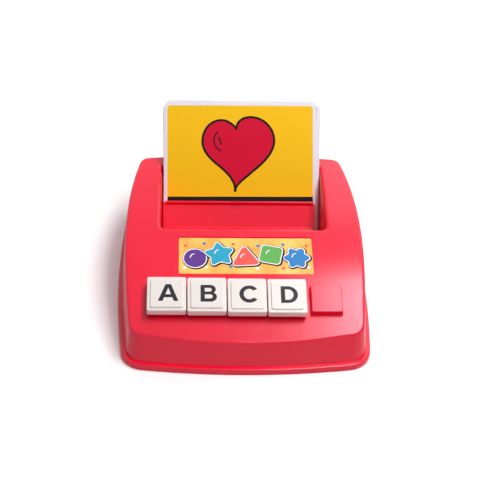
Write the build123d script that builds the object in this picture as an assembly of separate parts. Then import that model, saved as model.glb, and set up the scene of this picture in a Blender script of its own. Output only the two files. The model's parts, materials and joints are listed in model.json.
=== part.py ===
from build123d import *
import math
import os

# Spelling card game: a red moulded tray with a row of square seats for letter tiles, a deep well
# that holds a leaning pack of picture cards, and a flap in the well that hides the printed word.
# Millimetres. +Z is up, -Y is the side the player sits at, +X is the player's right.
# The origin is the middle of the underside.

# Body seen from above: four bowed sides with rounded corners, at the foot of the wall
FOOT_FRONT_HALF = 79.7
FOOT_BACK_HALF = 80.3
FOOT_FRONT_Y = -85.7
FOOT_BACK_Y = 86.5
FOOT_SIDE_BOW = 5.8
FOOT_FRONT_RADIUS = 12.5
FOOT_BACK_RADIUS = 11.5
FRONT_BOW = 6.5
BACK_BOW = 5.0

# How far each wall leans inwards over the body's full height
LEAN_FRONT = 16.8
LEAN_BACK = 8.9
LEAN_FRONT_CORNER = 4.3
LEAN_BACK_CORNER = 7.2
BOW_GAIN = 1.9
FRONT_RADIUS_LOSS = 9.0
BACK_RADIUS_LOSS = 4.0

# Height and the round top
CREST_Z = 55.9
CREST_Y = 82.0
TOP_RADIUS = 420.0
CREASE_RADIUS = 2.2
WALL = 2.2

# Flange round the foot, wider at the ends than at the sides
FLANGE_REACH_SIDE = 2.7
FLANGE_REACH_END = 3.6
FLANGE_FRONT_RADIUS = 17.3
FLANGE_BACK_RADIUS = 15.1
FLANGE_HEIGHT = 4.4
FLANGE_WALL = 2.2
LEDGE_THICKNESS = 2.0
FLANGE_EDGE_RADIUS = 1.3

# Card well in the top, as wide as the cards and a gap at each side
CARD_WIDTH = 112.6
CARD_SIDE_GAP = 1.8
WELL_HALF = CARD_WIDTH / 2 + CARD_SIDE_GAP
WELL_FRONT_Y = 1.7
WELL_BACK_Y = 67.0
WELL_FRONT_RADIUS = 4.0
WELL_BACK_RADIUS = 1.5
LIP_RADIUS = 2.6
SKIRT_DEPTH = 12.0
SKIRT_THICKNESS = 2.0

# Cards, which lean on the well's back lip and stand on the pocket's floor
CARD_LEAN = 52.4
CARD_LENGTH = 99.4
CARD_THICKNESS = 0.35
CARD_PLAY = 0.04
CARD_CORNER_RADIUS = 5.0
CARD_REST_GAP = 0.3
# How each card lies in the pack, from the back card to the front one: shift to the right in mm,
# then turn in degrees
PACK = (
    (0.6, 0.2),
    (0.2, 0.15),
    (0.4, 0.0),
    (0.1, 0.1),
    (0.3, -0.1),
    (-0.2, 0.15),
    (0.6, 0.0),
    (0.9, -0.8),
    (0.35, 1.1),
    (-0.2, 0.35),
)

# Pocket that carries the cards and the flap
POCKET_FLOOR_Z = 15.0
POCKET_WALL = 2.0
POCKET_SEAM = 0.2
POCKET_SIDE_GAP = 0.3
REST_GAP = 0.1
REST_THICKNESS = 2.0
REST_TOP_DROP = 4.6
EAR_REACH = 10.0
EAR_HALF = 5.0
EAR_Z = 24.0
EAR_THICKNESS = 3.0
EAR_SPOTS = (16.0, 48.0)

# Flap over the printed word
FLAP_SIDE_GAP = 2.2
FLAP_WIDTH = 2 * (WELL_HALF - FLAP_SIDE_GAP)
FLAP_LENGTH = 21.9
FLAP_SHIFT = -1.5
FLAP_FIELD = 1.6
FLAP_RIM_WIDTH = 3.1
FLAP_RIM_CREST = 1.2
FLAP_RIM_HEIGHT = 1.4
FLAP_EDGE_RADIUS = 0.6
FLAP_CORNER_RADIUS = 3.5
FLAP_CARD_GAP = 0.35
BARREL_RADIUS = 2.1
BARREL_INSET = 0.1
BARREL_SETBACK = 1.0
HINGE_RISE = 6.4
PIN_RADIUS = 1.4
PIN_CLEARANCE = 0.08
PIN_ENGAGE = 1.7
THUMB_WIDTH = 17.0
THUMB_THICKNESS = 1.3
THUMB_REACH = 3.0

# Row of tile seats and the tiles
SEAT_COUNT = 5
TILE_COUNT = 4
SEAT_PITCH = 26.75
ROW_Y = -57.9
PAD_TOP = 20.6
PAD_BASE = 22.0
PAD_HEIGHT = 4.4
PAD_SINK = 0.8
PAD_CORNER_RADIUS = 1.2
PAD_EDGE_RADIUS = 0.5
TILE_SIZE = 26.0
TILE_SHOULDER = 8.0
TILE_FIELD = 21.6
TILE_FIELD_RISE = 0.9
TILE_LIFT = 2.5
TILE_CORNER_RADIUS = 1.4
TILE_EDGE_RADIUS = 0.6
FIELD_EDGE = 0.4
TILE_FIT = 1.0
TILE_SEAT_PLAY = 0.05
# How far up the slope each tile has slid on its seat, within its fit
TILE_SLIDES = (0.95, 0.5, 0.0, -0.3)

# Label in its shallow recess
LABEL_WIDTH = 92.0
LABEL_FRONT_Y = -37.1
LABEL_BACK_Y = -7.4
LABEL_SHIFT = 0.6
LABEL_THICKNESS = 0.25
LABEL_GLUE = 0.05
LABEL_CORNER_RADIUS = 0.8
RECESS_DEPTH = 0.5
RECESS_MARGIN = 0.9
RECESS_CORNER_RADIUS = 1.5

# Base cover, set a little up into the flange so that the flange alone stands on the table, and
# its screws
COVER_GAP = 0.3
COVER_RECESS = 0.4
POST_HEIGHT = 9.0
POST_RADIUS = 4.4
HEAD_SEAT_Z = 6.0
HEAD_WELL_RADIUS = 3.2
RIB_HEIGHT = 2.5
RIB_WIDTH = 1.6
RIB_SINK = 0.5
RIB_SHORTER = 30.0
RIB_SPOTS = (-42.0, 0.0, 42.0)
BOSS_RADIUS = 4.0
BASE_SCREW_SPOTS = ((66.0, -73.0), (71.5, -8.0), (60.0, 71.5))
SCREW_HEAD_RADIUS = 2.8
SCREW_HEAD_HEIGHT = 1.8
SCREW_SHANK_RADIUS = 1.3
SCREW_LENGTH = 12.0
POCKET_SCREW_LENGTH = 8.0
PILOT_CLEARANCE = 0.05
HOLE_CLEARANCE = 0.4
PILOT_SPARE = 1.0
POCKET_BOSS_RADIUS = 3.4

# How an upright piece sits on its place: centred, with its foot at the given height
ON_FOOT = (Align.CENTER, Align.CENTER, Align.MIN)

# How far cutting shapes run past what they cut, how near the round top an edge has to be to
# count as lying on it, and the least radius of a wall's corner
OVER = 10.0
NEAR_TOP = 1.0
LEAST_RADIUS = 1.0

# Heights and places that follow from the values above
TALL = CREST_Z + OVER
EAR_END = WELL_HALF + POCKET_WALL + EAR_REACH
FLANGE_UNDER = FLANGE_HEIGHT - LEDGE_THICKNESS
LEAN = math.radians(CARD_LEAN)
CARD_PITCH = CARD_THICKNESS + CARD_PLAY
UP_CARD = Vector(0, math.cos(LEAN), math.sin(LEAN))
OFF_CARD = Vector(0, -math.sin(LEAN), math.cos(LEAN))


def top_z(y, below=0.0):
    """Height of the round top at y, or of the round a given depth below it."""
    radius = TOP_RADIUS - below
    return CREST_Z - TOP_RADIUS + math.sqrt(radius**2 - (y - CREST_Y) ** 2)


def top_slope(y):
    """How steeply the top falls towards the player at y, in radians."""
    return math.asin((CREST_Y - y) / TOP_RADIUS)


def round_top(below=0.0):
    """Cylinder along X whose crown is the body's top, or a given depth below it."""
    middle = Pos(0, CREST_Y, CREST_Z - TOP_RADIUS)
    length = 2 * (FOOT_BACK_HALF + FOOT_SIDE_BOW + FLANGE_REACH_SIDE + OVER)
    return middle * Rot(0, 90, 0) * Cylinder(TOP_RADIUS - below, length)


def outline(front_half, back_half, front_y, back_y, side_bow, front_radius, back_radius):
    """Face of the plan shape: two bowed ends, two bowed sides, rounded corners."""
    middle_y = (front_y + back_y) / 2
    side_x = (front_half + back_half) / 2 + side_bow
    with BuildSketch() as shape:
        with BuildLine():
            ThreePointArc((-front_half, front_y), (0, front_y - FRONT_BOW), (front_half, front_y))
            ThreePointArc((front_half, front_y), (side_x, middle_y), (back_half, back_y))
            ThreePointArc((back_half, back_y), (0, back_y + BACK_BOW), (-back_half, back_y))
            ThreePointArc((-back_half, back_y), (-side_x, middle_y), (-front_half, front_y))
        make_face()
        corners = shape.vertices().sort_by(Axis.Y)
        fillet(corners[2:], back_radius)
        fillet(shape.vertices().sort_by(Axis.Y)[:2], front_radius)
    return shape.sketch


def plan_at(height, inset=0.0):
    """Wall outline at a height, drawn in by inset on every side."""
    share = (height - FLANGE_HEIGHT) / (CREST_Z - FLANGE_HEIGHT)
    face = outline(
        FOOT_FRONT_HALF - LEAN_FRONT_CORNER * share - inset,
        FOOT_BACK_HALF - LEAN_BACK_CORNER * share - inset,
        FOOT_FRONT_Y + LEAN_FRONT * share + inset,
        FOOT_BACK_Y - LEAN_BACK * share - inset,
        FOOT_SIDE_BOW + BOW_GAIN * share,
        max(FOOT_FRONT_RADIUS - FRONT_RADIUS_LOSS * share - inset, LEAST_RADIUS),
        max(FOOT_BACK_RADIUS - BACK_RADIUS_LOSS * share - inset, LEAST_RADIUS),
    )
    return Pos(0, 0, height) * face


def wall_block(bottom, inset=0.0):
    """Solid inside the leaning walls, from a height up past the top."""
    return loft([plan_at(bottom, inset), plan_at(TALL, inset)], ruled=True)


def flange_plan(inset=0.0):
    """Outline of the flange, drawn in by inset."""
    return outline(
        FOOT_FRONT_HALF + FLANGE_REACH_SIDE - inset,
        FOOT_BACK_HALF + FLANGE_REACH_SIDE - inset,
        FOOT_FRONT_Y - FLANGE_REACH_END + inset,
        FOOT_BACK_Y + FLANGE_REACH_END - inset,
        FOOT_SIDE_BOW,
        FLANGE_FRONT_RADIUS - inset,
        FLANGE_BACK_RADIUS - inset,
    )


def well_block(grow=0.0):
    """Upright block with the well's plan, grown by a wall thickness."""
    length = WELL_BACK_Y - WELL_FRONT_Y
    middle_y = (WELL_BACK_Y + WELL_FRONT_Y) / 2
    plan = Rectangle(2 * (WELL_HALF + grow), length + 2 * grow)
    plan = fillet(plan.vertices().group_by(Axis.Y)[0], WELL_FRONT_RADIUS + grow)
    plan = fillet(plan.vertices().group_by(Axis.Y)[-1], WELL_BACK_RADIUS + grow)
    return Pos(0, middle_y, 0) * extrude(plan, TALL)


def row_plane(index):
    """Plane square to the top at one seat of the row, on the top's surface."""
    slope = top_slope(ROW_Y)
    x = (index - (SEAT_COUNT - 1) / 2) * SEAT_PITCH
    up = (0, -math.sin(slope), math.cos(slope))
    return Plane(origin=(x, ROW_Y, top_z(ROW_Y)), x_dir=(1, 0, 0), z_dir=up)


def pad_side(height):
    """Side of the square pad at a height above the top, along its draft."""
    return PAD_BASE + (PAD_TOP - PAD_BASE) * height / PAD_HEIGHT


def square_taper(low, high, grow=0.0):
    """Tapered square block that follows the pad's sides, grown by a clearance."""
    sections = []
    for height in (low, high):
        side = pad_side(height) + 2 * grow
        sections.append(Pos(0, 0, height) * RectangleRounded(side, side, PAD_CORNER_RADIUS))
    return loft(sections, ruled=True)


def pad(index):
    """Square seat that a tile drops over."""
    block = square_taper(-PAD_SINK, PAD_HEIGHT)
    block = fillet(block.faces().sort_by(Axis.Z)[-1].edges(), PAD_EDGE_RADIUS)
    return row_plane(index) * block


def tile(index):
    """Hollow letter tile: a square cap with a raised field, open underneath."""
    plate = RectangleRounded(TILE_SIZE, TILE_SIZE, TILE_CORNER_RADIUS)
    block = Pos(0, 0, TILE_LIFT) * extrude(plate, TILE_SHOULDER - TILE_LIFT)
    block = fillet(block.faces().sort_by(Axis.Z)[-1].edges(), TILE_EDGE_RADIUS)
    field = extrude(RectangleRounded(TILE_FIELD, TILE_FIELD, TILE_CORNER_RADIUS), TILE_FIELD_RISE)
    field = chamfer(field.faces().sort_by(Axis.Z)[-1].edges(), FIELD_EDGE)
    block += Pos(0, 0, TILE_SHOULDER) * field
    hollow = square_taper(0, PAD_HEIGHT + TILE_SEAT_PLAY, TILE_FIT)
    return row_plane(index) * Pos(0, TILE_SLIDES[index], 0) * (block - hollow)


def label_piece(depth, thickness, margin, radius, shift):
    """Slab of the label's plan that follows the round top, a depth below it."""
    length = LABEL_BACK_Y - LABEL_FRONT_Y + 2 * margin
    middle_y = (LABEL_BACK_Y + LABEL_FRONT_Y) / 2
    plan = RectangleRounded(LABEL_WIDTH + 2 * margin, length, radius)
    column = Pos(shift, middle_y, 0) * extrude(plan, TALL)
    return (column & round_top(depth - thickness)) - round_top(depth)


def lip_offset():
    """How far the cards' plane lies behind the well's sharp back corner, past its round lip."""
    return LIP_RADIUS * (math.sin(LEAN) + math.cos(LEAN) - 1)


def card_origin(offset):
    """Point of the card plane at a distance in front of the lip."""
    corner = Vector(0, WELL_BACK_Y, top_z(WELL_BACK_Y))
    return corner + OFF_CARD * (CARD_REST_GAP - lip_offset() + offset)


def card_plane(offset):
    """Plane of the cards: X across, Y up the card, Z towards the player."""
    return Plane(origin=card_origin(offset), x_dir=(1, 0, 0), z_dir=OFF_CARD)


def up_card_to(height, offset):
    """Distance up the card plane, from its origin, at which a height is reached."""
    return (height - card_origin(offset).Z) / math.sin(LEAN)


def card(index):
    """One card of the pack, standing on the pocket's floor."""
    shift, turn = PACK[index]
    offset = index * CARD_PITCH
    drop = CARD_WIDTH / 2 * math.sin(math.radians(abs(turn)))
    low = up_card_to(POCKET_FLOOR_Z + CARD_PLAY, offset) + drop
    plan = RectangleRounded(CARD_WIDTH, CARD_LENGTH, CARD_CORNER_RADIUS)
    standing = Pos(0, CARD_LENGTH / 2, 0) * extrude(plan, CARD_THICKNESS)
    return card_plane(offset) * Pos(shift, low, 0) * Rot(0, 0, turn) * standing


PACK_DEPTH = len(PACK) * CARD_PITCH
FLAP_BACK = PACK_DEPTH + FLAP_CARD_GAP
HINGE_OFF = FLAP_BACK + BARREL_INSET + BARREL_RADIUS
HINGE_Z = POCKET_FLOOR_Z + HINGE_RISE


def hinge_plane():
    """Plane of the flap with its origin on the hinge axis: Y up the flap, Z towards the player."""
    start = card_origin(HINGE_OFF) + UP_CARD * up_card_to(HINGE_Z, HINGE_OFF)
    return Plane(origin=start, x_dir=(1, 0, 0), z_dir=OFF_CARD)


def base_spots():
    """The six places of the base screws."""
    return [(side * x, y) for x, y in BASE_SCREW_SPOTS for side in (-1, 1)]


def ear_spots():
    """The four places of the pocket's screws."""
    return [(side * (EAR_END - EAR_HALF), y) for y in EAR_SPOTS for side in (-1, 1)]


def rod(x, y, bottom, length, radius):
    """Upright round rod from a height, for posts and for the holes in them."""
    return Pos(x, y, bottom) * Cylinder(radius, length, align=ON_FOOT)


def boss(x, y, bottom, radius):
    """Round boss under the top, down to a height."""
    return rod(x, y, bottom, TALL - bottom, radius) & round_top(WALL / 2)


def lies_on_top(edge):
    """Whether an edge's middle lies on the round top."""
    middle = edge.center()
    return abs(middle.Z - top_z(middle.Y)) < NEAR_TOP


def top_shell():
    """Housing: leaning walls, round top, flange, well skirt, seats, label recess and bosses."""
    body = wall_block(FLANGE_HEIGHT) & round_top()
    crease = [edge for edge in body.edges() if lies_on_top(edge)]
    body = fillet(crease, CREASE_RADIUS)
    flange = extrude(flange_plan(), FLANGE_HEIGHT)
    flange = fillet(flange.faces().sort_by(Axis.Z)[-1].edges(), FLANGE_EDGE_RADIUS)
    outer = body + flange
    inside = wall_block(0, WALL) & round_top(WALL)
    channel = extrude(flange_plan(FLANGE_WALL), FLANGE_UNDER)
    shell = outer - inside - channel
    skirt = well_block(SKIRT_THICKNESS) & round_top(WALL / 2)
    shell += skirt - round_top(SKIRT_DEPTH)
    for x, y in base_spots():
        shell += boss(x, y, POST_HEIGHT, BOSS_RADIUS)
    for x, y in ear_spots():
        shell += boss(x, y, EAR_Z + EAR_THICKNESS, POCKET_BOSS_RADIUS)
    shell -= well_block()
    lip = [edge for edge in shell.edges() if is_well_lip(edge)]
    shell = fillet(lip, LIP_RADIUS)
    for index in range(SEAT_COUNT):
        shell += pad(index)
    shell -= label_piece(RECESS_DEPTH, RECESS_DEPTH + OVER, RECESS_MARGIN, RECESS_CORNER_RADIUS, 0)
    pilot = SCREW_SHANK_RADIUS + PILOT_CLEARANCE
    for x, y in base_spots():
        shell -= rod(x, y, HEAD_SEAT_Z, SCREW_LENGTH + PILOT_SPARE, pilot)
    for x, y in ear_spots():
        shell -= rod(x, y, EAR_Z, POCKET_SCREW_LENGTH + PILOT_SPARE, pilot)
    return shell


def is_well_lip(edge):
    """Whether an edge runs round the well's mouth on the top."""
    middle = edge.center()
    across = abs(middle.X) < WELL_HALF + WALL / 2
    along = WELL_FRONT_Y - WALL / 2 < middle.Y < WELL_BACK_Y + WALL / 2
    return lies_on_top(edge) and across and along


def base_cover():
    """Bottom plate with ribs and a hollow post at each base screw."""
    plate = extrude(flange_plan(FLANGE_WALL + COVER_GAP), FLANGE_UNDER - COVER_RECESS)
    cover = Pos(0, 0, COVER_RECESS) * plate
    for x, y in base_spots():
        cover += rod(x, y, COVER_RECESS, POST_HEIGHT - COVER_RECESS, POST_RADIUS)
    rib = Box(2 * FOOT_FRONT_HALF - RIB_SHORTER, RIB_WIDTH, RIB_HEIGHT + RIB_SINK, align=ON_FOOT)
    for y in RIB_SPOTS:
        cover += Pos(0, y, FLANGE_UNDER - RIB_SINK) * rib
    for x, y in base_spots():
        cover -= rod(x, y, 0, HEAD_SEAT_Z, HEAD_WELL_RADIUS)
        cover -= rod(x, y, 0, POST_HEIGHT, SCREW_SHANK_RADIUS + HOLE_CLEARANCE)
    return cover


def pocket_profile(wall):
    """Side view of the pocket's trough: upright front, flat floor, back along the cards."""
    back = card_origin(-REST_GAP - wall)
    floor = POCKET_FLOOR_Z - wall
    front = WELL_FRONT_Y - wall
    low = back.Y - (back.Z - floor) / math.tan(LEAN)
    high = back.Y + (TALL - back.Z) / math.tan(LEAN)
    points = [(front, floor), (low, floor), (high, TALL), (front, TALL)]
    return Plane.YZ * make_face(Polyline(points, close=True))


def card_pocket():
    """Trough under the well: floor, cheeks, back rest, hinge holes and screw ears."""
    half = WELL_HALF + POCKET_WALL
    outside = extrude(pocket_profile(POCKET_WALL), half, both=True) & well_block(POCKET_WALL)
    inside = extrude(pocket_profile(0), WELL_HALF, both=True) & well_block()
    trough = (outside - inside) & round_top(SKIRT_DEPTH + POCKET_SEAM)
    low = up_card_to(POCKET_FLOOR_Z, 0)
    rest = Box(
        2 * WELL_HALF,
        -low - REST_TOP_DROP,
        REST_THICKNESS,
        align=(Align.CENTER, Align.MIN, Align.MAX),
    )
    rest = card_plane(-REST_GAP) * Pos(0, low, 0) * rest
    trough += rest & well_block(-POCKET_SIDE_GAP)
    ear_start = WELL_HALF + POCKET_WALL / 2
    ear = Box(EAR_END - ear_start, 2 * EAR_HALF, EAR_THICKNESS, align=ON_FOOT)
    for x, y in ear_spots():
        trough += Pos(math.copysign((ear_start + EAR_END) / 2, x), y, EAR_Z) * ear
        trough -= rod(x, y, EAR_Z, EAR_THICKNESS, SCREW_SHANK_RADIUS + HOLE_CLEARANCE)
    axle = Rot(0, 90, 0) * Cylinder(PIN_RADIUS + PIN_CLEARANCE, 2 * EAR_END)
    return trough - hinge_plane() * axle


def flap_plan(height, inset=0.0):
    """Flap's front view at a height off its back, drawn in by inset, its upper corners rounded."""
    plan = Rectangle(FLAP_WIDTH - 2 * inset, FLAP_LENGTH - 2 * inset)
    plan = fillet(plan.vertices().group_by(Axis.Y)[-1], FLAP_CORNER_RADIUS - inset)
    return Pos(0, FLAP_LENGTH / 2, height - BARREL_RADIUS - BARREL_INSET) * plan


def thumb_lip():
    """Half-moon tongue that stands off the flap's face along its top edge."""
    with BuildSketch(Plane.XZ) as half_moon:
        with BuildLine():
            chord = Line((THUMB_WIDTH / 2, 0), (-THUMB_WIDTH / 2, 0))
            ThreePointArc(chord @ 1, (0, THUMB_REACH), chord @ 0)
        make_face()
    tongue = extrude(half_moon.sketch, THUMB_THICKNESS)
    return Pos(0, FLAP_LENGTH, FLAP_FIELD - BARREL_RADIUS - BARREL_INSET) * tongue


def word_flap():
    """Flap with a raised rim, a thumb lip and a pin at each end of its barrel."""
    thickness = FLAP_FIELD + FLAP_RIM_HEIGHT
    panel = extrude(flap_plan(0), thickness)
    panel = fillet(panel.faces().sort_by(Axis.Z)[-1].edges(), FLAP_EDGE_RADIUS)
    field = [flap_plan(FLAP_FIELD, FLAP_RIM_WIDTH), flap_plan(thickness, FLAP_RIM_CREST)]
    panel -= loft(field, ruled=True)
    panel += thumb_lip()
    barrel = Rot(0, 90, 0) * Cylinder(BARREL_RADIUS, FLAP_WIDTH - 2 * BARREL_SETBACK)
    pins = Rot(0, 90, 0) * Cylinder(PIN_RADIUS, 2 * (WELL_HALF + PIN_ENGAGE))
    axle = Pos(FLAP_SHIFT, 0, 0) * barrel + pins
    return hinge_plane() * (Pos(FLAP_SHIFT, 0, 0) * panel + axle)


def screw(x, y, seat, length):
    """Pan head screw driven upwards, its head under the seat."""
    head = Pos(x, y, seat) * Cylinder(
        SCREW_HEAD_RADIUS, SCREW_HEAD_HEIGHT, align=(Align.CENTER, Align.CENTER, Align.MAX)
    )
    return head + rod(x, y, seat, length, SCREW_SHANK_RADIUS)


def base_screws():
    """The six screws that hold the cover to the shell."""
    return Compound([screw(x, y, HEAD_SEAT_Z, SCREW_LENGTH).solid() for x, y in base_spots()])


def pocket_screws():
    """The four screws that hold the pocket under the shell."""
    return Compound([screw(x, y, EAR_Z, POCKET_SCREW_LENGTH).solid() for x, y in ear_spots()])


parts = {
    "top_shell": top_shell(),
    "base_cover": base_cover(),
    "card_pocket": card_pocket(),
    "word_flap": word_flap(),
    "label_plate": label_piece(
        RECESS_DEPTH - LABEL_GLUE, LABEL_THICKNESS, 0, LABEL_CORNER_RADIUS, LABEL_SHIFT
    ),
    "base_screws": base_screws(),
    "pocket_screws": pocket_screws(),
}
for index in range(TILE_COUNT):
    parts[f"letter_tile_{index + 1}"] = tile(index)
for index in range(len(PACK)):
    name = "front_card" if index == len(PACK) - 1 else f"pack_card_{len(PACK) - index:02d}"
    parts[name] = card(index)

os.makedirs("parts", exist_ok=True)
for name, shape in parts.items():
    export_step(shape, f"parts/{name}.step")

axis = hinge_plane().origin
print("flap hinge axis at y", round(axis.Y, 4), "z", round(axis.Z, 4))
print("tile row normal", [round(v, 6) for v in row_plane(0).z_dir])
print("card direction", [round(v, 6) for v in UP_CARD])
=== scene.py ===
import json
import math

import bmesh
import bpy
from mathutils import Matrix, Vector


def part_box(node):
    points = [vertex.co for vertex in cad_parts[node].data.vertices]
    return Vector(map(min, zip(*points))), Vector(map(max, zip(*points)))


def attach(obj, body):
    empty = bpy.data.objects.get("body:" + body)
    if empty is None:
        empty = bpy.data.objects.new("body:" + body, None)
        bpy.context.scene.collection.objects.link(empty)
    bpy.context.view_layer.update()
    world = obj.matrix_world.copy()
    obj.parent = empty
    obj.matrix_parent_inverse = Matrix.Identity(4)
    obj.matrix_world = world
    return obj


# Looks of the spelling card game: red moulded tray, cream letter tiles, printed cards and label.
# Lengths are in metres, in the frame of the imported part, where no comment gives them in mm.
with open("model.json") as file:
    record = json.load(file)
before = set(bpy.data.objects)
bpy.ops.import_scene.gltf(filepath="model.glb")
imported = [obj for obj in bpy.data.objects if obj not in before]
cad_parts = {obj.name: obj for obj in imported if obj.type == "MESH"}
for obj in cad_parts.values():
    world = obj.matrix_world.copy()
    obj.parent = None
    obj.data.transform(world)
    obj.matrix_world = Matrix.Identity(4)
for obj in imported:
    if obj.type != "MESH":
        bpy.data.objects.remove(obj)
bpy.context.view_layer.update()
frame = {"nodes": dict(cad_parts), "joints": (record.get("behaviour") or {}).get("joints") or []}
nodes = frame["nodes"]
MM = 0.001

# Camera, as fitted to the photograph's tray, tiles, label and well
CAMERA_AIM = Vector((-3.7, -18.1, 52.8)) * MM
CAMERA_DISTANCE = 825.5 * MM
CAMERA_LENS = 90.4
CAMERA_DOWN = math.radians(37.61)
CAMERA_FROM_LEFT = math.radians(3.76)
CAMERA_ROLL = math.radians(2.64)

# Lamps: name, place in metres, width and length in metres, power in watts
LAMPS = (
    ("softbox_right", (0.34, 0.02, 0.95), 0.50, 0.31, 6.9),
    ("softbox_front", (0.20, -0.38, 0.92), 0.22, 0.22, 2.2),
    ("softbox_back", (0.50, 0.85, 0.88), 0.80, 0.80, 2.2),
)
LAMP_AIM = Vector((0, 0, 30)) * MM

# Room: strength of its fill and of its backdrop. The one turns into the other as a direction's
# part along +Y goes from BACKDROP_START to BACKDROP_FULL
ROOM_FILL = 0.14
BACKDROP_LIGHT = 1.3
BACKDROP_START = 0.4
BACKDROP_FULL = 0.85

# Floor: its size in metres, the strength of its glow by the tray, and the distances in metres
# over which the glow rises to full white
FLOOR_SIZE = 6.0
FLOOR_LIFT = 0.12
FLOOR_NEAR = 0.25
FLOOR_FAR = 1.5

# Least cosine between a face's own direction and one that it counts as facing
FACING = 0.9

# Range that a noise pattern mostly keeps to
NOISE_LOW = 0.3
NOISE_HIGH = 0.7

# Printed ink: how thick a layer is, and how far one layer lies above the next
INK = 0.006 * MM
INK_STEP = 0.008 * MM

# Inks: colour, second shade of its mottle, roughness and surface shine
INKS = {
    "black": ("#0A0607", "#0E0809", 0.5, 0.12),
    "slate": ("#1B1A22", "#201F28", 0.4, 0.2),
    "white": ("#F5F3F8", "#EFECF4", 0.4, 0.3),
    "yellow": ("#FFCA16", "#FCC512", 0.4, 0.15),
    "heart": ("#D90636", "#D40534", 0.4, 0.15),
    "red": ("#E0202E", "#DA1C2A", 0.4, 0.3),
    "blue": ("#1F7FC4", "#1C79BD", 0.4, 0.3),
    "green": ("#5FAE4E", "#59A849", 0.4, 0.3),
    "purple": ("#5E2C8E", "#582988", 0.4, 0.3),
    "cyan": ("#1AA3C4", "#189DBE", 0.4, 0.3),
    "coral": ("#F0594F", "#EC544B", 0.4, 0.3),
}

# Letters: width of an upright and of a bar as shares of the height, and the height of a tile's
# letter and its shift from the tile's middle, in mm
LETTER_STEM = 0.22
LETTER_BAR = 0.19
LETTER_HEIGHT = 12.8
LETTER_SHIFT = (1.1, 0.25)

# Number of sides of a printed dot
DOT_STEPS = 16

# Print on the cards, in mm from the card's middle line and its top edge
PANEL_HALF = 53.6
PANEL_TOP = 1.7
PANEL_BOTTOM = 68.7
PANEL_RADIUS = 2.4
BAND_BOTTOM = 96.8
WORD_HEIGHT = 16.0
WORD_PITCH = 22.0
PICTURE_MIDDLE = -35.0
PICTURE_LINE = 1.7
BACK_DOT_RADIUS = 2.4
BACK_DOT_PITCH = 13.0

# Heart, as cubic stretches: point, pull towards it, pull away from it; mm from the card's
# middle line and downwards from its top edge. HEART_TIP is the place of its tip in the list
HEART = (
    ((-2.9, 18.9), None, (-5.4, 15.2)),
    ((-14.0, 12.4), (-9.6, 12.4), (-22.0, 12.4)),
    ((-27.9, 28.2), (-27.9, 19.6), (-27.9, 37.4)),
    ((-12.9, 48.4), (-18.4, 43.6), (-7.4, 53.2)),
    ((-3.8, 64.2), (-3.6, 58.6), (-3.6, 59.6)),
    ((9.0, 50.2), (3.4, 55.2), (16.8, 43.8)),
    ((25.0, 27.3), (25.0, 36.4), (25.0, 17.8)),
    ((7.5, 10.1), (17.0, 10.1), (1.6, 10.1)),
    ((-2.9, 18.9), (-2.9, 13.4), None),
)
HEART_TIP = 4
HEART_DOT_RADIUS = 1.1

# Strokes of shine on the heart, in the same terms
SHINES = (
    (((-16.6, 21.1), None, (-20.6, 24.4)), ((-14.6, 34.8), (-20.6, 31.9), None)),
    (((-15.8, 25.1), None, (-15.2, 26.6)), ((-14.1, 30.3), (-14.6, 29.0), None)),
)
SHINE_LINE = 1.1

# Label's shapes, in mm: the dark line round each, the white line inside it, its shadow's shift,
# and the stroke of shine on it
LABEL_DARK_LINE = 1.45
LABEL_WHITE_LINE = 0.75
LABEL_SHADOW = (0.4, -0.45)
LABEL_SHINE = (((-3.2, 0.6), None, (-3.0, 2.4)), ((-0.6, 3.6), (-2.2, 3.4), None))
LABEL_SHINE_LINE = 0.7

# Label's dots, in mm from its middle
LABEL_DOTS = {
    "coral": ((-41.5, 8.5), (-8.5, 10.0), (25.5, -10.6), (42.2, 8.8)),
    "blue": ((-28.6, 10.4), (-10.6, -9.4), (8.6, 8.6), (26.0, 9.8)),
    "white": ((-42.0, -10.4), (-27.0, -9.8), (7.6, -10.8), (42.8, -9.6)),
}
LABEL_DOT_RADIUS = 1.2


def linear(code):
    """Linear colour with alpha from an sRGB hex code."""
    channels = [int(code[i : i + 2], 16) / 255 for i in (1, 3, 5)]
    curve = [c / 12.92 if c <= 0.04045 else ((c + 0.055) / 1.055) ** 2.4 for c in channels]
    return (*curve, 1.0)


def add(tree, kind, values=None, links=None, **settings):
    """Adds a shader node with its settings, socket values and incoming links."""
    node = tree.nodes.new("ShaderNode" + kind)
    for name, value in settings.items():
        setattr(node, name, value)
    for socket, value in (values or {}).items():
        node.inputs[socket].default_value = value
    for socket, source in (links or {}).items():
        tree.links.new(source, node.inputs[socket])
    return node


def per_metre(size_mm):
    """Texture scale whose features are about this many millimetres across."""
    return 1 / (size_mm * MM)


def new_finish(name):
    """Empty node material and its tree."""
    material = bpy.data.materials.new(name)
    material.use_nodes = True
    material.node_tree.nodes.clear()
    return material, material.node_tree


def speckle(tree, size_mm, detail=2.0):
    """Soft random pattern of the given size, on the piece's own coordinates."""
    place = add(tree, "TexCoord")
    values = {"Scale": per_metre(size_mm), "Detail": detail}
    return add(tree, "TexNoise", values, {"Vector": place.outputs["Object"]}).outputs["Fac"]


def finish_surface(tree, values, links):
    """Closes a material with its surface shader."""
    shader = add(tree, "BsdfPrincipled", values, links)
    add(tree, "OutputMaterial", {}, {"Surface": shader.outputs["BSDF"]})


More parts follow.
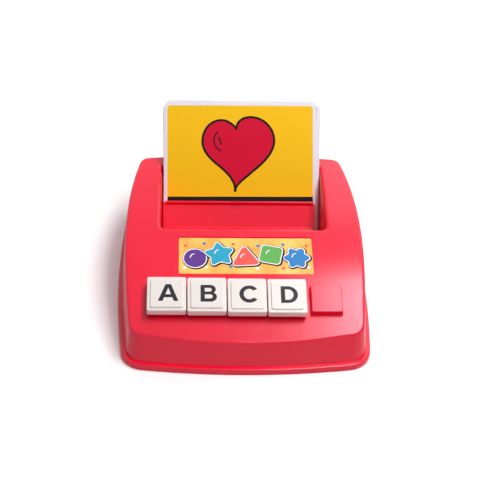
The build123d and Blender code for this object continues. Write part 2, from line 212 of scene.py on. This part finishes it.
def finish_mottled(tree, colour, roughness, values, links=None):
    """Closes a material whose colour wanders between two near shades and whose roughness wanders
    over a range. Each of the two is given as its pattern and the values at the pattern's ends."""
    pattern, first, second = colour
    # Inputs 6 and 7 and output 2 are the ones for colours
    shades = {6: linear(first), 7: linear(second)}
    tint = add(tree, "Mix", shades, {"Factor": pattern}, data_type="RGBA")
    pattern, low, high = roughness
    reach = {"From Min": NOISE_LOW, "From Max": NOISE_HIGH, "To Min": low, "To Max": high}
    dull = add(tree, "MapRange", reach, {"Value": pattern})
    varied = {"Base Color": tint.outputs[2], "Roughness": dull.outputs["Result"]}
    finish_surface(tree, values, {**varied, **(links or {})})


def moulded_abs(name, shade, deep_shade, roughness):
    """Injection-moulded ABS: an even, saturated body colour under a clear gloss that breaks up
    over the faint ripple of the steel mould, with a very fine grain that softens highlights."""
    material, tree = new_finish(name)
    flow = speckle(tree, 45)
    ripple = speckle(tree, 7)
    # Coarser than the real grain, so that it shows close up
    grain = speckle(tree, 0.5)
    height = add(tree, "Bump", {"Strength": 0.04, "Distance": 0.05 * MM}, {"Height": grain})
    finish_mottled(
        tree,
        (flow, shade, deep_shade),
        (ripple, roughness - 0.02, roughness + 0.03),
        {"IOR": 1.52, "Specular Tint": linear("#FFF0FF")},
        {"Normal": height.outputs["Normal"]},
    )
    return material


def cream_urea():
    """Cream tile plastic: dense, smooth and glossy, with a little cloudiness in its colour."""
    material, tree = new_finish("cream_urea")
    cloud = speckle(tree, 9)
    # Coarser than the real grain, so that it shows close up
    grain = speckle(tree, 0.6)
    height = add(tree, "Bump", {"Strength": 0.04, "Distance": 0.05 * MM}, {"Height": grain})
    finish_mottled(
        tree,
        (cloud, "#EBE2DE", "#E8DFDA"),
        (cloud, 0.3, 0.33),
        {"IOR": 1.5},
        {"Normal": height.outputs["Normal"]},
    )
    return material


def coated_card():
    """White art card: a smooth coated face, faintly lilac, with a trace of its paper fibre."""
    material, tree = new_finish("coated_card")
    # Coarser than real fibres, which are too thin to show
    fibre = speckle(tree, 0.9, 5.0)
    height = add(tree, "Bump", {"Strength": 0.06, "Distance": 0.03 * MM}, {"Height": fibre})
    finish_mottled(
        tree,
        (fibre, "#EDE9F1", "#E6E2EB"),
        (fibre, 0.36, 0.46),
        {"IOR": 1.5},
        {"Normal": height.outputs["Normal"]},
    )
    return material


def ink(name, shade, second_shade, roughness, shine):
    """Offset ink on coated card or film: flat, with the slight mottle of a printed solid, and
    less surface shine than the bare coating because the ink sinks in and dries matt."""
    material, tree = new_finish("ink_" + name)
    mottle = speckle(tree, 1.6, 4.0)
    finish_mottled(
        tree,
        (mottle, shade, second_shade),
        (mottle, roughness - 0.04, roughness + 0.05),
        {"IOR": 1.5, "Specular IOR Level": shine},
    )
    return material


def label_film():
    """Glossy printed film in warm orange-yellow, with large soft rounds of a lighter shade."""
    material, tree = new_finish("label_film")
    place = add(tree, "TexCoord")
    rounds = add(
        tree,
        "TexVoronoi",
        {"Scale": per_metre(17), "Randomness": 0.9, "Smoothness": 0.4},
        {"Vector": place.outputs["Object"]},
        feature="SMOOTH_F1",
    )
    step = {"From Min": 0.3, "From Max": 0.62, "To Min": 0.0, "To Max": 1.0}
    edge = add(tree, "MapRange", step, {"Value": rounds.outputs["Distance"]})
    mottle = speckle(tree, 3)
    shades = (edge.outputs["Result"], "#FCCB66", "#F5AE48")
    finish_mottled(tree, shades, (mottle, 0.22, 0.3), {"IOR": 1.5})
    return material


def zinc_steel():
    """Zinc-plated screws: pale grey metal with a dull, slightly uneven shine."""
    material, tree = new_finish("zinc_steel")
    dull = speckle(tree, 0.8)
    shades = (dull, "#C9CBCC", "#B4B6B8")
    finish_mottled(tree, shades, (dull, 0.3, 0.45), {"Metallic": 1.0})
    return material


def arc(middle, radius, start, end, steps=16):
    """Points along an arc, from one angle to another in degrees. A pair of radii, across and up,
    makes it a stretch of an ellipse."""
    across, up = radius if isinstance(radius, tuple) else (radius, radius)
    points = []
    for i in range(steps + 1):
        angle = math.radians(start + (end - start) * i / steps)
        points.append((middle[0] + across * math.cos(angle), middle[1] + up * math.sin(angle)))
    return points


def ring(radius, middle=(0, 0), steps=36):
    """Closed circle."""
    return arc(middle, radius, 0, 360, steps)[:-1]


def bent(start, first_pull, second_pull, end, steps=14):
    """Points along a cubic curve, without its last one."""
    points = []
    for i in range(steps):
        t = i / steps
        weights = ((1 - t) ** 3, 3 * t * (1 - t) ** 2, 3 * t**2 * (1 - t), t**3)
        pulls = (start, first_pull, second_pull, end)
        points.append(tuple(sum(w * p[axis] for w, p in zip(weights, pulls)) for axis in (0, 1)))
    return points


def chain(knots):
    """Open path through cubic stretches: each knot is a point and the pulls before and after it."""
    path = []
    for (point, _, leave), (target, arrive, _) in zip(knots, knots[1:]):
        path += bent(point, leave, arrive, target)
    return path + [knots[-1][0]]


def flipped(path):
    """Path with its second coordinate turned to point up."""
    return [(x, -y) for x, y in path]


def moved(outline, shift):
    """Outline moved by a distance across and up."""
    return [(x + shift[0], y + shift[1]) for x, y in outline]


def rounded_corners(corners, radius, steps=6):
    """Closed outline of a polygon with each corner rounded."""
    # Pulls this far from the corner to the bend's ends turn a right angle in a near circle
    pull = 0.45
    points = []
    for i, corner in enumerate(corners):
        here = Vector(corner)
        back = (Vector(corners[i - 1]) - here).normalized()
        on = (Vector(corners[(i + 1) % len(corners)]) - here).normalized()
        reach = radius / math.tan(back.angle(on) / 2)
        start, end = here + back * reach, here + on * reach
        points += bent(start, here.lerp(start, pull), here.lerp(end, pull), end, steps)
        points.append(tuple(end))
    return points


def grown(outline, distance):
    """Closed outline moved outwards by a distance."""
    points = [Vector(p) for p in outline]
    turn = sum(a.x * b.y - b.x * a.y for a, b in zip(points, points[1:] + points[:1]))
    side = math.copysign(1, turn)
    edge = []
    for i, here in enumerate(points):
        before, after = points[i - 1], points[(i + 1) % len(points)]
        along = (after - before).normalized()
        edge.append(tuple(here + Vector((along.y, -along.x)) * side * distance))
    return edge


def round_cap(end, inner, width):
    """Points of the round end of a drawn line, from one of its sides to the other. Inner is the
    point before the end."""
    way = math.degrees(math.atan2(end.y - inner.y, end.x - inner.x))
    return arc(end, width / 2, way - 90, way + 90, 8)[1:-1]


def line_outline(path, width):
    """Outline of a drawn line with round ends, along an open path."""
    points = [Vector(p) for p in path]
    left, right = [], []
    for i, here in enumerate(points):
        before, after = points[max(i - 1, 0)], points[min(i + 1, len(points) - 1)]
        along = (after - before).normalized()
        side = Vector((-along.y, along.x)) * width / 2
        left.append(tuple(here + side))
        right.append(tuple(here - side))
    first_cap = round_cap(points[0], points[1], width)
    last_cap = round_cap(points[-1], points[-2], width)
    return first_cap[::-1] + left + last_cap[::-1] + right[::-1]


def star(points, outer, inner, radius, turn=90.0):
    """Star outline with rounded tips and valleys."""
    corners = []
    for i in range(2 * points):
        reach = inner if i % 2 else outer
        angle = math.radians(turn + 180 * i / points)
        corners.append((reach * math.cos(angle), reach * math.sin(angle)))
    return rounded_corners(corners, radius)


def polygon(sides, reach, radius, turn=90.0):
    """Regular polygon outline with rounded corners."""
    angles = [math.radians(turn + 360 * i / sides) for i in range(sides)]
    return rounded_corners([(reach * math.cos(a), reach * math.sin(a)) for a in angles], radius)


def moon(reach):
    """Crescent outline, open to the right, with a half circle as its hollow."""
    # Degrees from the middle of the opening to a tip
    tip = 62
    outer = arc((0, 0), reach, tip, 360 - tip, 40)
    x, y = outer[-1]
    return outer + arc((x, 0), -y, 270, 90, 28)[1:-1]


def petals(count, reach, depth):
    """Flower outline with round petals."""
    steps = 20 * count
    outline = []
    for i in range(steps):
        angle = 2 * math.pi * i / steps
        length = reach - depth + depth * math.cos(count * angle)
        outline.append((length * math.cos(angle), length * math.sin(angle)))
    return outline


def drop(reach):
    """Drop outline with its point up."""
    belly = 0.68 * reach
    knots = (
        ((0, reach), None, (0.1 * reach, 0.6 * reach)),
        ((belly, -0.3 * reach), (belly, 0.15 * reach), (belly, -0.7 * reach)),
        ((0, -reach), (0.4 * reach, -reach), (-0.4 * reach, -reach)),
        ((-belly, -0.3 * reach), (-belly, -0.7 * reach), (-belly, 0.15 * reach)),
        ((0, reach), (-0.1 * reach, 0.6 * reach), None),
    )
    return chain(knots)[:-1]


def leaf(reach):
    """Leaf outline with a point at each end."""
    side = bent((0, reach), (0.75 * reach, 0.4 * reach), (0.75 * reach, -0.5 * reach), (0, -reach))
    return side + [(-x, -y) for x, y in side]


def house(reach, radius):
    """House front outline with rounded corners, and with eaves wider than its walls."""
    wall, eaves = 0.72 * reach, 0.15 * reach
    corners = [(0, reach), (reach, eaves), (wall, eaves), (wall, -0.85 * reach)]
    corners += [(-x, y) for x, y in corners[:0:-1]]
    return rounded_corners(corners[::-1], radius)


def letter_a():
    """Two slanted legs and a bar, and the opening over the bar."""
    right = [(0.145, 1), (0.53, 0), (0.29, 0), (0.21, 0.22)]
    left = [(-x, y) for x, y in right[::-1]]
    return [right + left, [(-0.145, 0.4), (0, 0.8), (0.145, 0.4)]]


def letter_b():
    """An upright with two bowls, the lower one larger, and an opening in each."""
    left = -0.42
    edge = left + LETTER_STEM
    lower = arc((0.1, 0.29), (0.33, 0.29), -90, 62)
    upper = arc((0.07, 0.745), (0.31, 0.255), -55, 90)
    lower_opening = arc((0.08, 0.31), (0.13, 0.31 - LETTER_BAR), -90, 90)
    upper_opening = arc((0.05, 0.71), (0.12, 0.11), -90, 90)
    return [
        [(left, 0), *lower, *upper, (left, 1)],
        [(edge, LETTER_BAR), *lower_opening, (edge, 0.43)],
        [(edge, 0.6), *upper_opening, (edge, 0.82)],
    ]


def letter_c():
    """A round stroke, open to the right."""
    outer = arc((0.02, 0.5), (0.52, 0.515), 38, 322, 40)
    inner = arc((0.02, 0.5), (0.29, 0.31), 318, 42, 40)
    return [outer + inner]


def letter_d():
    """An upright with one large bowl, and the opening in it."""
    left = -0.43
    edge = left + LETTER_STEM
    bowl = arc((-0.05, 0.5), (0.51, 0.5), -90, 90, 28)
    opening = arc((-0.05, 0.5), (0.28, 0.5 - LETTER_BAR), -90, 90, 28)
    return [
        [(left, 0), *bowl, (left, 1)],
        [(edge, LETTER_BAR), *opening, (edge, 1 - LETTER_BAR)],
    ]


def letter(draw, height, at):
    """Outlines of a letter at a height in mm, about a place."""
    foot = at[1] - height / 2
    return [[(at[0] + x * height, foot + y * height) for x, y in loop] for loop in draw()]


# Plain letters on the tiles and in the cards' bands
LETTERS = (letter_a, letter_b, letter_c, letter_d)

# Picture on each card of the pack behind the front one, with its two inks
PICTURES = (
    ("yellow", "red", star(5, 25.0, 12.0, 3.0)),
    ("blue", "yellow", moon(23.0)),
    ("yellow", "blue", drop(24.0)),
    ("green", "yellow", petals(8, 24.0, 2.6)),
    ("yellow", "green", leaf(24.0)),
    ("purple", "yellow", polygon(4, 24.0, 3.0)),
    ("yellow", "purple", petals(5, 24.0, 5.0)),
    ("blue", "red", house(23.0, 1.6)),
    ("green", "red", ring(22.0)),
)

# Label's shapes, in mm from its middle: ink, place and outline
LABEL_SHAPES = (
    ("purple", (-35.0, -2.4), ring(7.6)),
    ("cyan", (-18.2, 1.2), star(5, 11.4, 6.2, 1.6, 98.0)),
    ("coral", (-0.4, -2.2), polygon(3, 11.6, 2.2, 94.0)),
    ("green", (17.2, 1.0), polygon(4, 10.0, 2.2, 33.0)),
    ("blue", (35.0, -1.6), petals(6, 8.8, 1.2)),
)


def wear(node, material):
    """Gives a node of the part its material."""
    mesh = nodes[node].data
    mesh.materials.clear()
    mesh.materials.append(material)


def joint_axis(name):
    """Unit direction of a joint."""
    return next(Vector(j["axis"]).normalized() for j in frame["joints"] if j["name"] == name)


def flat_face(node, across, outwards):
    """Place on a flat face of a node: X across, Y up, Z outwards, origin at its middle."""
    up = outwards.cross(across)
    points = [v.co for v in nodes[node].data.vertices]
    middle = outwards * max(p.dot(outwards) for p in points)
    for along in (across, up):
        reach = [p.dot(along) for p in points]
        middle += along * (min(reach) + max(reach)) / 2
    place = Matrix((across, up, outwards)).transposed().to_4x4()
    place.translation = middle
    return place


def card_place(node, side):
    """Place on a card's front or back, square to its own edges, origin on its middle line at the
    top edge. Side is 1 for the front and -1 for the back."""
    edges = [p for p in nodes[node].data.polygons if p.normal.x * side > FACING]
    across = max(edges, key=lambda p: p.area).normal.normalized()
    lift = joint_axis("front_card_lift")
    outwards = Vector((0, -lift.z, lift.y)) * side
    across = (across - outwards * across.dot(outwards)).normalized()
    place = flat_face(node, across, outwards)
    up = outwards.cross(across)
    reach = [v.co.dot(up) for v in nodes[node].data.vertices]
    place.translation += up * (max(reach) - min(reach)) / 2
    return place


def filled(outlines, layer):
    """Mesh of a thin printed layer with the given outlines in mm."""
    curve = bpy.data.curves.new("outline", "CURVE")
    curve.dimensions = "2D"
    curve.fill_mode = "BOTH"
    curve.extrude = INK / 2
    for outline in outlines:
        spline = curve.splines.new("POLY")
        spline.points.add(len(outline) - 1)
        for point, (x, y) in zip(spline.points, outline):
            point.co = (x * MM, y * MM, 0, 1)
        spline.use_cyclic_u = True
    drawn = bpy.data.objects.new("outline", curve)
    mesh = bpy.data.meshes.new_from_object(drawn)
    bpy.data.objects.remove(drawn)
    bpy.data.curves.remove(curve)
    mesh.transform(Matrix.Translation((0, 0, layer * INK_STEP + INK / 2)))
    return mesh


def lay_on_film(bm, film):
    """Bends a flat print over the rows of a curved film, each a distance up it and a height."""
    for up, _ in film:
        geometry = [*bm.verts, *bm.edges, *bm.faces]
        bmesh.ops.bisect_plane(bm, geom=geometry, plane_co=(0, up, 0), plane_no=(0, 1, 0))
    for (low, low_height), (high, high_height) in zip(film, film[1:]):
        for vert in bm.verts:
            if not vert.tag and low <= vert.co.y <= high:
                share = (vert.co.y - low) / (high - low)
                vert.co.z += low_height + share * (high_height - low_height)
                vert.tag = True


def printed(name, layers, place, material, body, film=()):
    """Piece of print in one ink, made of one or more layers, on a flat face or a curved film."""
    bm = bmesh.new()
    for layer, outlines in layers.items():
        mesh = filled(outlines, layer)
        bm.from_mesh(mesh)
        bpy.data.meshes.remove(mesh)
    lay_on_film(bm, film)
    mesh = bpy.data.meshes.new(name)
    bm.to_mesh(mesh)
    bm.free()
    mesh.transform(place)
    mesh.materials.append(material)
    piece = bpy.data.objects.new(name, mesh)
    bpy.context.scene.collection.objects.link(piece)
    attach(piece, body)


def dress_tray():
    """Red plastic on the shell, flap, cover and pocket, and zinc on the screws. The cover and the
    pocket are duller and a little deeper in colour."""
    red = moulded_abs("moulded_abs_red", "#EF002F", "#EB002D", 0.21)
    inner_red = moulded_abs("moulded_abs_inner", "#E80634", "#E20532", 0.4)
    steel = zinc_steel()
    finishes = {
        "top_shell": red,
        "word_flap": red,
        "base_cover": inner_red,
        "card_pocket": inner_red,
        "base_screws": steel,
        "pocket_screws": steel,
    }
    for node, material in finishes.items():
        wear(node, material)


def dress_tiles(inks):
    """Cream tiles with one plain letter printed on each."""
    material = cream_urea()
    for index, draw in enumerate(LETTERS, 1):
        node = f"letter_tile_{index}"
        body = f"tile_{index}"
        wear(node, material)
        place = flat_face(node, Vector((1, 0, 0)), joint_axis(body + "_lift"))
        outlines = letter(draw, LETTER_HEIGHT, LETTER_SHIFT)
        printed(body + "_letter", {0: outlines}, place, inks["slate"], body)


def picture_panel():
    """Outline of the panel that holds a card's picture: round at the top, square at the band."""
    middle = PANEL_HALF - PANEL_RADIUS
    top = -PANEL_TOP - PANEL_RADIUS
    right = arc((middle, top), PANEL_RADIUS, 0, 90)
    left = arc((-middle, top), PANEL_RADIUS, 90, 180)
    return [*right, *left, (-PANEL_HALF, -PANEL_BOTTOM), (PANEL_HALF, -PANEL_BOTTOM)]


def word_band():
    """Outline of the dark band that holds a card's letters."""
    middle = PANEL_HALF - PANEL_RADIUS
    foot = PANEL_RADIUS - BAND_BOTTOM
    left = arc((-middle, foot), PANEL_RADIUS, 180, 270)
    right = arc((middle, foot), PANEL_RADIUS, 270, 360)
    return [(PANEL_HALF, -PANEL_BOTTOM), (-PANEL_HALF, -PANEL_BOTTOM), *left, *right]


def word():
    """Outlines of the plain letters in the band."""
    middle = -(PANEL_BOTTOM + BAND_BOTTOM) / 2
    outlines = []
    for index, draw in enumerate(LETTERS):
        x = (index - (len(LETTERS) - 1) / 2) * WORD_PITCH
        outlines += letter(draw, WORD_HEIGHT, (x, middle))
    return outlines


def back_panel():
    """Outlines of the panel on a card's back, with rows of open dots."""
    left, right, foot, top = -PANEL_HALF, PANEL_HALF, -BAND_BOTTOM, -PANEL_TOP
    corners = [(right, top), (left, top), (left, foot), (right, foot)]
    outlines = [rounded_corners(corners, PANEL_RADIUS)]
    rows = int((top - foot) / BACK_DOT_PITCH)
    columns = int((right - left) / BACK_DOT_PITCH)
    for row in range(rows):
        y = (foot + top) / 2 + (row - (rows - 1) / 2) * BACK_DOT_PITCH
        dots = columns - row % 2
        for column in range(dots):
            x = (column - (dots - 1) / 2) * BACK_DOT_PITCH
            outlines.append(ring(BACK_DOT_RADIUS, (x, y), DOT_STEPS))
    return outlines


def print_card(node, inks, ground, prints):
    """Card with its panel, the letters in its band and its dotted back. The other prints on its
    front are each given as a name, layers and an ink."""
    place = card_place(node, 1)
    body = node + "_body"
    printed(node + "_panel", {0: [picture_panel()]}, place, inks[ground], body)
    for name, layers, shade in prints:
        printed(f"{node}_{name}", layers, place, inks[shade], body)
    printed(node + "_word", {1: word()}, place, inks["white"], body)
    printed(node + "_back", {0: back_panel()}, card_place(node, -1), inks["yellow"], body)


def dress_pack_card(node, inks, ground, fill, picture):
    """Card of the pack: a plain figure with a dark line round it, and the dark band."""
    shape = moved(picture, (0, PICTURE_MIDDLE))
    dark = {0: [word_band()], 1: [grown(shape, PICTURE_LINE)]}
    prints = (("dark", dark, "black"), ("picture", {2: [shape]}, fill))
    print_card(node, inks, ground, prints)


def dress_front_card(inks):
    """Card in front: a yellow panel with a red heart drawn in a dark line, and the dark band.
    The line's two halves and the dot at its tip lie on layers of their own, as they overlap."""
    heart = flipped(chain(HEART)[:-1])
    left = line_outline(flipped(chain(HEART[: HEART_TIP + 1])), PICTURE_LINE)
    right = line_outline(flipped(chain(HEART[HEART_TIP:])), PICTURE_LINE)
    shines = [line_outline(flipped(chain(shine)), SHINE_LINE) for shine in SHINES]
    tip_x, tip_y = HEART[HEART_TIP][0]
    lines = {2: [left, *shines], 3: [right], 4: [ring(HEART_DOT_RADIUS, (tip_x, -tip_y))]}
    prints = (
        ("band", {0: [word_band()]}, "black"),
        ("heart", {1: [heart]}, "heart"),
        ("heart_lines", lines, "black"),
    )
    print_card("front_card", inks, "yellow", prints)


def dress_cards(inks):
    """Coated cards: the one in front, and the pack behind it."""
    card = coated_card()
    wear("front_card", card)
    dress_front_card(inks)
    pack = sorted(name for name in nodes if name.startswith("pack_card_"))
    for node, (ground, fill, picture) in zip(pack, PICTURES):
        wear(node, card)
        dress_pack_card(node, inks, ground, fill, picture)


def film_rows(node, place):
    """Rows of a curved film's facets, as distance up it and height over its place."""
    back = place.inverted()
    mesh = nodes[node].data
    outwards = place.col[2].to_3d()
    faces = [p for p in mesh.polygons if p.normal.dot(outwards) > FACING]
    points = [back @ mesh.vertices[i].co for p in faces for i in p.vertices]
    # Corners that differ by rounding alone count as one
    rows = sorted({(round(p.y, 7), round(p.z, 7)) for p in points})
    least = 0.5 * MM
    kept = [rows[0]]
    for row in rows[1:]:
        if row[0] - kept[-1][0] > least:
            kept.append(row)
    return kept


def label_prints():
    """Layers of print on the label, by ink. Each shape has a dark line with its shadow, a white
    line, its fill and a stroke of shine. Every second shape lies over its neighbours."""
    pieces = {}
    for shade, places in LABEL_DOTS.items():
        pieces[shade] = {0: [ring(LABEL_DOT_RADIUS, at, DOT_STEPS) for at in places]}
    shine = line_outline(chain(LABEL_SHINE), LABEL_SHINE_LINE)
    for index, (shade, at, outline) in enumerate(LABEL_SHAPES):
        shape = moved(outline, at)
        stack = (
            ("black", grown(moved(shape, LABEL_SHADOW), LABEL_DARK_LINE)),
            ("white", grown(shape, LABEL_WHITE_LINE)),
            (shade, shape),
            ("white", moved(shine, at)),
        )
        for layer, (colour, drawn) in enumerate(stack, index % 2 * len(stack)):
            pieces.setdefault(colour, {}).setdefault(layer, []).append(drawn)
    return pieces


def dress_label(inks):
    """Glossy label with a row of bold plain shapes and small dots."""
    node = "label_plate"
    wear(node, label_film())
    low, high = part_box(node)
    slope = math.atan2(high.z - low.z, high.y - low.y)
    outwards = Vector((0, -math.sin(slope), math.cos(slope)))
    place = flat_face(node, Vector((1, 0, 0)), outwards)
    film = film_rows(node, place)
    for shade, layers in label_prints().items():
        printed("label_" + shade, layers, place, inks[shade], "tray", film)


def place_camera():
    """Camera at the photograph's viewing angle, aimed at a point of the tray."""
    down, left = CAMERA_DOWN, CAMERA_FROM_LEFT
    forward = Vector(
        (math.cos(down) * math.sin(left), math.cos(down) * math.cos(left), -math.sin(down))
    )
    right = Vector((math.cos(left), -math.sin(left), 0))
    up = right.cross(forward)
    rolled_right = math.cos(CAMERA_ROLL) * right + math.sin(CAMERA_ROLL) * up
    rolled_up = math.cos(CAMERA_ROLL) * up - math.sin(CAMERA_ROLL) * right
    data = bpy.data.cameras.new("camera")
    data.lens = CAMERA_LENS
    camera = bpy.data.objects.new("camera", data)
    place = Matrix((rolled_right, rolled_up, -forward)).transposed().to_4x4()
    place.translation = CAMERA_AIM - forward * CAMERA_DISTANCE
    camera.matrix_world = place
    bpy.context.scene.collection.objects.link(camera)
    bpy.context.scene.camera = camera


def softbox(name, place, width, length, power):
    """Oblong area lamp that points at the middle of the object."""
    data = bpy.data.lights.new(name, "AREA")
    data.shape = "RECTANGLE"
    data.size = width
    data.size_y = length
    data.energy = power
    lamp = bpy.data.objects.new(name, data)
    lamp.location = place
    lamp.rotation_euler = (LAMP_AIM - Vector(place)).to_track_quat("-Z", "Y").to_euler()
    bpy.context.scene.collection.objects.link(lamp)


def light_room():
    """Studio: a soft fill, a white backdrop behind the table, a large softbox overhead to the
    right, and two weaker ones in front and behind. Seen by the camera, in a mirror or through
    glass, the room is plain white."""
    world = bpy.data.worlds.new("room")
    bpy.context.scene.world = world
    world.use_nodes = True
    tree = world.node_tree
    tree.nodes.clear()
    path = add(tree, "LightPath")
    seen = path.outputs["Is Camera Ray"]
    for kind in ("Is Transmission Ray", "Is Glossy Ray"):
        either = {0: seen, 1: path.outputs[kind]}
        seen = add(tree, "Math", {}, either, operation="MAXIMUM").outputs[0]
    place = add(tree, "TexCoord")
    towards = add(tree, "SeparateXYZ", {}, {0: place.outputs["Generated"]})
    rise = {
        "From Min": BACKDROP_START,
        "From Max": BACKDROP_FULL,
        "To Min": ROOM_FILL,
        "To Max": BACKDROP_LIGHT,
    }
    back = {"Value": towards.outputs["Y"]}
    strength = add(tree, "MapRange", rise, back, interpolation_type="SMOOTHSTEP")
    white = linear("#FFFFFF")
    fill = add(tree, "Background", {"Color": white}, {"Strength": strength.outputs[0]})
    plain = add(tree, "Background", {"Color": white, "Strength": 1.0})
    mix = add(tree, "MixShader", {}, {0: seen, 1: fill.outputs[0], 2: plain.outputs[0]})
    add(tree, "OutputWorld", {}, {"Surface": mix.outputs[0]})
    for lamp in LAMPS:
        softbox(*lamp)


def lay_floor():
    """White table under the tray. It glows a little in the picture, more so far from the tray,
    and keeps the tray's shadow."""
    bpy.ops.mesh.primitive_plane_add(size=FLOOR_SIZE)
    floor = bpy.context.active_object
    floor.name = "floor"
    material, tree = new_finish("white_table")
    path = add(tree, "LightPath")
    place = add(tree, "TexCoord")
    distance = add(tree, "VectorMath", {}, {0: place.outputs["Object"]}, operation="LENGTH")
    rise = {"From Min": FLOOR_NEAR, "From Max": FLOOR_FAR, "To Min": FLOOR_LIFT, "To Max": 1.0}
    lift = add(tree, "MapRange", rise, {"Value": distance.outputs["Value"]})
    seen = {0: path.outputs["Is Camera Ray"], 1: lift.outputs["Result"]}
    glow = add(tree, "Math", {}, seen, operation="MULTIPLY")
    values = {
        "Base Color": linear("#F4F4F6"),
        "Roughness": 0.7,
        "Specular IOR Level": 0.2,
        "Emission Color": linear("#FFFFFF"),
    }
    finish_surface(tree, values, {"Emission Strength": glow.outputs[0]})
    floor.data.materials.append(material)


bpy.context.scene.view_settings.view_transform = "Standard"
printing_inks = {name: ink(name, *finish) for name, finish in INKS.items()}
dress_tray()
dress_tiles(printing_inks)
dress_cards(printing_inks)
dress_label(printing_inks)
lay_floor()
light_room()
place_camera()
